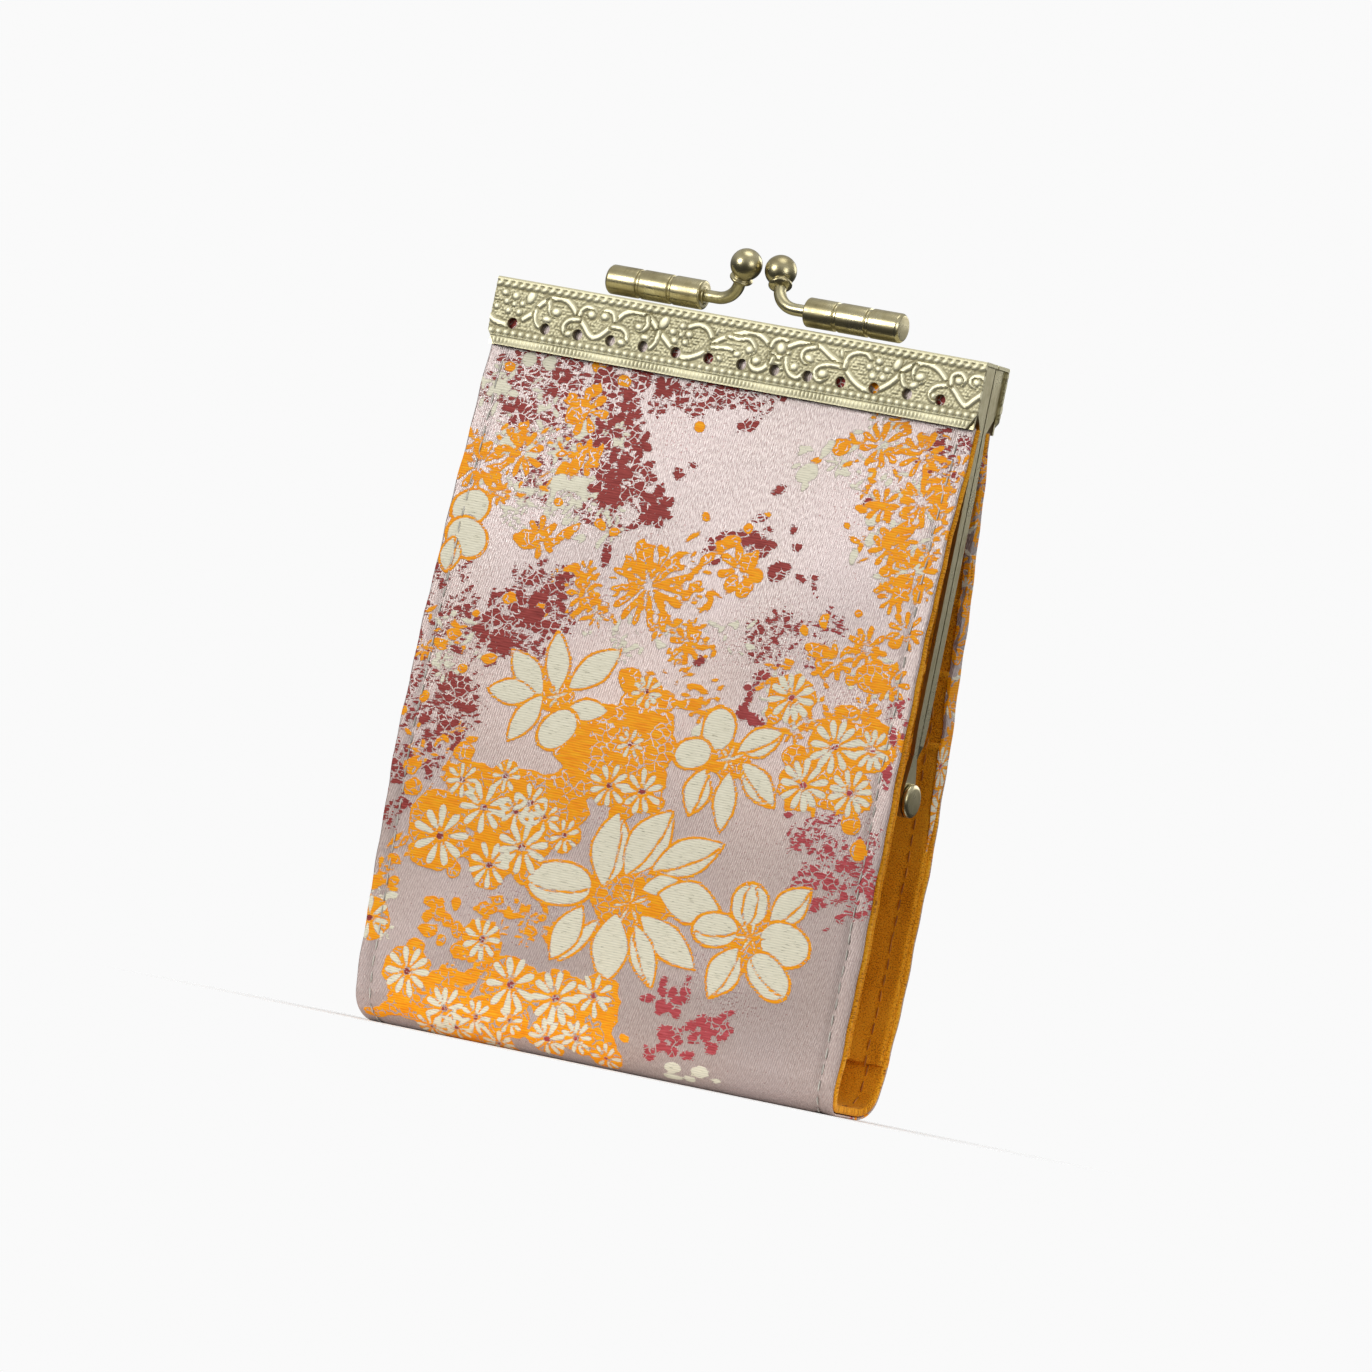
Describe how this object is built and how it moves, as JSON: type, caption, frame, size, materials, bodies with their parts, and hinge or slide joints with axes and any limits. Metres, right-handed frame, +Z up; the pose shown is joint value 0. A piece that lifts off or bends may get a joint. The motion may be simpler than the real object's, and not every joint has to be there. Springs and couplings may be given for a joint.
{
  "type": "coin purse",
  "caption": "Slim brocade card and coin purse: a velvet-lined folded panel with card pockets, hung from a riveted brass kiss-lock frame that opens at the top.",
  "frame": {"origin": "middle of the bottom fold's flat underside, which is the bottom centre of the bounding box", "axes": "+Z up along the purse's height; +X along the frame's rails; +Y from the front panel to the back"},
  "size_m": [0.0936, 0.0202, 0.1384],
  "materials": {
    "frame_brass": "antique satin",
    "embossed_brass": "embossed, antique",
    "clasp_brass": "brushed antique",
    "brocade": "figured silk brocade",
    "buckram": "stiffened cotton",
    "velvet": "short velvet pile",
    "paper_cord": "twisted paper"
  },
  "bodies": {
    "back_frame": {"back_frame_bar": "frame_brass", "back_rail_plate": "embossed_brass", "back_clasp_barrel": "clasp_brass", "back_clasp_post": "clasp_brass", "back_clasp_collar": "clasp_brass", "back_clasp_ball": "clasp_brass", "back_clamped_edge": "brocade", "back_packing_cord": "paper_cord", "left_rivet": "clasp_brass", "right_rivet": "clasp_brass"},
    "front_frame": {"front_frame_bar": "frame_brass", "front_rail_plate": "embossed_brass", "front_clasp_barrel": "clasp_brass", "front_clasp_post": "clasp_brass", "front_clasp_collar": "clasp_brass", "front_clasp_ball": "clasp_brass", "front_clamped_edge": "brocade", "front_packing_cord": "paper_cord"},
    "front_panel": {"front_brocade": "brocade", "front_stiffener": "buckram", "front_lining": "velvet", "front_card_pocket_1": "velvet", "front_card_pocket_2": "velvet", "front_card_pocket_3": "velvet"},
    "back_panel": {"back_brocade": "brocade", "back_stiffener": "buckram", "back_lining": "velvet", "back_card_pocket_1": "velvet", "back_card_pocket_2": "velvet", "back_card_pocket_3": "velvet"}
  },
  "joints": [
    {"name": "frame_opening", "type": "hinge", "parent": "back_frame", "child": "front_frame", "pos_m": [0, -0.003, 0.0533], "axis": [1, 0, 0], "range_deg": [0, 75]},
    {"name": "back_panel_bend", "type": "hinge", "parent": "back_frame", "child": "back_panel", "pos_m": [0, -0.0005, 0.1148], "axis": [1, 0, 0], "range_deg": [0, 18]},
    {"name": "bottom_fold", "type": "hinge", "parent": "back_panel", "child": "front_panel", "pos_m": [0, 0, 0], "axis": [1, 0, 0], "range_deg": [0, 40]}
  ],
  "couplings": [
    {"joint": "back_panel_bend", "follows": "frame_opening", "ratio": 0.2302},
    {"joint": "bottom_fold", "follows": "frame_opening", "ratio": 0.502}
  ]
}
